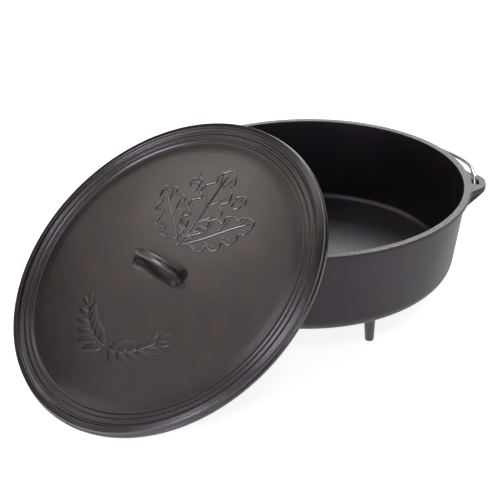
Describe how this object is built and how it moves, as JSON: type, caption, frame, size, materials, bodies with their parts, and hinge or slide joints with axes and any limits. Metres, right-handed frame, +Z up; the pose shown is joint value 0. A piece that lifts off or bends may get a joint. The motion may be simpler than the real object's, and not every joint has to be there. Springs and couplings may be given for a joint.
{
  "type": "footed cast iron dutch oven",
  "caption": "Wide round cast iron camp oven on short legs, with a wire bail in cast ears and its loop-handled flanged lid leaning on the rim.",
  "frame": {"origin": "on the floor, on the pot's axis", "axes": "+Z up along the pot's axis; the two ears and the bail's hinge lie along X; at rest the bail lies back over the rim on the +Y side and the lid leans on the rim at about 132 degrees clockwise from +X, seen from above"},
  "size_m": [0.5749, 0.5841, 0.2534],
  "materials": {
    "seasoned_iron": "sand-cast, oil-seasoned, semi-gloss",
    "lid_iron": "sand-cast, oil-seasoned, semi-gloss with bare high spots",
    "plated_wire": "bright zinc-plated drawn wire"
  },
  "bodies": {
    "pot": {"pot_body": "seasoned_iron", "ear_right": "seasoned_iron", "ear_left": "seasoned_iron", "leg_front": "seasoned_iron", "leg_rear": "seasoned_iron", "leg_left": "seasoned_iron"},
    "bail": {"bail": "plated_wire"},
    "lid": {"lid_plate": "lid_iron", "lid_handle": "lid_iron"}
  },
  "joints": [
    {"name": "bail_swing", "type": "hinge", "parent": "pot", "child": "bail", "pos_m": [0, 0, 0.153], "axis": [1, 0, 0], "range_deg": [0, 75]},
    {"name": "lid_lift", "type": "slide", "parent": "pot", "child": "lid", "axis": [0, 0, 1], "range_m": [0, 0.25]}
  ]
}
